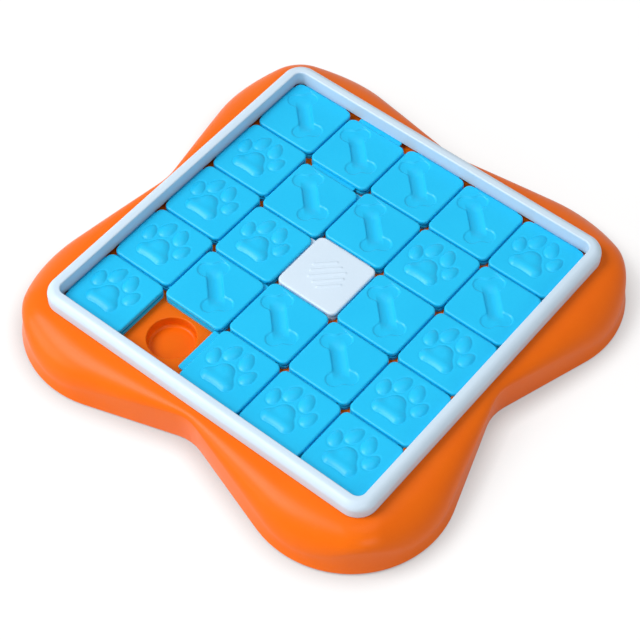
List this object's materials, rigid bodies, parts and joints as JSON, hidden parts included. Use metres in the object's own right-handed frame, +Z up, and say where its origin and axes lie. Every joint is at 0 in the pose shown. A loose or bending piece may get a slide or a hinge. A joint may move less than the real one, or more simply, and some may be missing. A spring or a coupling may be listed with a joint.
{
  "type": "dog puzzle feeder toy",
  "caption": "Square sliding-tile treat board with a lobed base, a raised rim, round treat wells and interlocking tiles with paw and bone reliefs.",
  "frame": {"origin": "middle of the board on the ground under its feet", "axes": "+Z up; +X along a row of tiles to the right; +Y from the front row to the back row"},
  "size_m": [0.306, 0.306, 0.043],
  "materials": {
    "orange_shell": "satin orange moulded plastic",
    "pale_rim": "very pale blue moulded plastic with a fine grain",
    "blue_tile": "satin sky blue moulded plastic",
    "white_tile": "satin white moulded plastic",
    "foot_rubber": "dark soft rubber",
    "screw_steel": "zinc plated steel"
  },
  "bodies": {
    "root": {"base": "orange_shell", "rim": "pale_rim", "rim_screws": "screw_steel", "foot_right_front": "foot_rubber", "foot_right_back": "foot_rubber", "foot_back_right": "foot_rubber", "foot_back_left": "foot_rubber", "foot_left_back": "foot_rubber", "foot_left_front": "foot_rubber", "foot_front_left": "foot_rubber", "foot_front_right": "foot_rubber", "paw_tile_r1c1": "blue_tile", "paw_tile_r1c3": "blue_tile", "paw_tile_r1c4": "blue_tile", "paw_tile_r1c5": "blue_tile", "paw_tile_r2c1": "blue_tile", "bone_tile_r2c3": "blue_tile", "bone_tile_r2c4": "blue_tile", "paw_tile_r2c5": "blue_tile", "paw_tile_r3c1": "blue_tile", "white_tile_r3c3": "white_tile", "bone_tile_r3c4": "blue_tile", "paw_tile_r3c5": "blue_tile", "paw_tile_r4c1": "blue_tile", "bone_tile_r4c3": "blue_tile", "paw_tile_r4c4": "blue_tile", "bone_tile_r4c5": "blue_tile", "bone_tile_r5c1": "blue_tile", "bone_tile_r5c3": "blue_tile", "bone_tile_r5c4": "blue_tile", "paw_tile_r5c5": "blue_tile"},
    "column_tile_1": {"bone_tile_r2c2": "blue_tile"},
    "column_tile_2": {"paw_tile_r3c2": "blue_tile"},
    "column_tile_3": {"bone_tile_r4c2": "blue_tile"},
    "column_tile_4": {"bone_tile_r5c2": "blue_tile"}
  },
  "joints": [
    {"name": "column_tile_1_slide", "type": "slide", "parent": "root", "child": "column_tile_1", "axis": [0, -1, 0], "range_m": [-0.0025, 0.0405]},
    {"name": "column_tile_2_slide", "type": "slide", "parent": "root", "child": "column_tile_2", "axis": [0, -1, 0], "range_m": [-0.00256, 0.04065]},
    {"name": "column_tile_3_slide", "type": "slide", "parent": "root", "child": "column_tile_3", "axis": [0, -1, 0], "range_m": [-0.00256, 0.04065]},
    {"name": "column_tile_4_slide", "type": "slide", "parent": "root", "child": "column_tile_4", "axis": [0, -1, 0], "range_m": [-0.00272, 0.04335]}
  ],
  "couplings": [
    {"joint": "column_tile_2_slide", "follows": "column_tile_1_slide", "ratio": 1.0025},
    {"joint": "column_tile_3_slide", "follows": "column_tile_1_slide", "ratio": 1.0025},
    {"joint": "column_tile_4_slide", "follows": "column_tile_1_slide", "ratio": 1.0691}
  ]
}
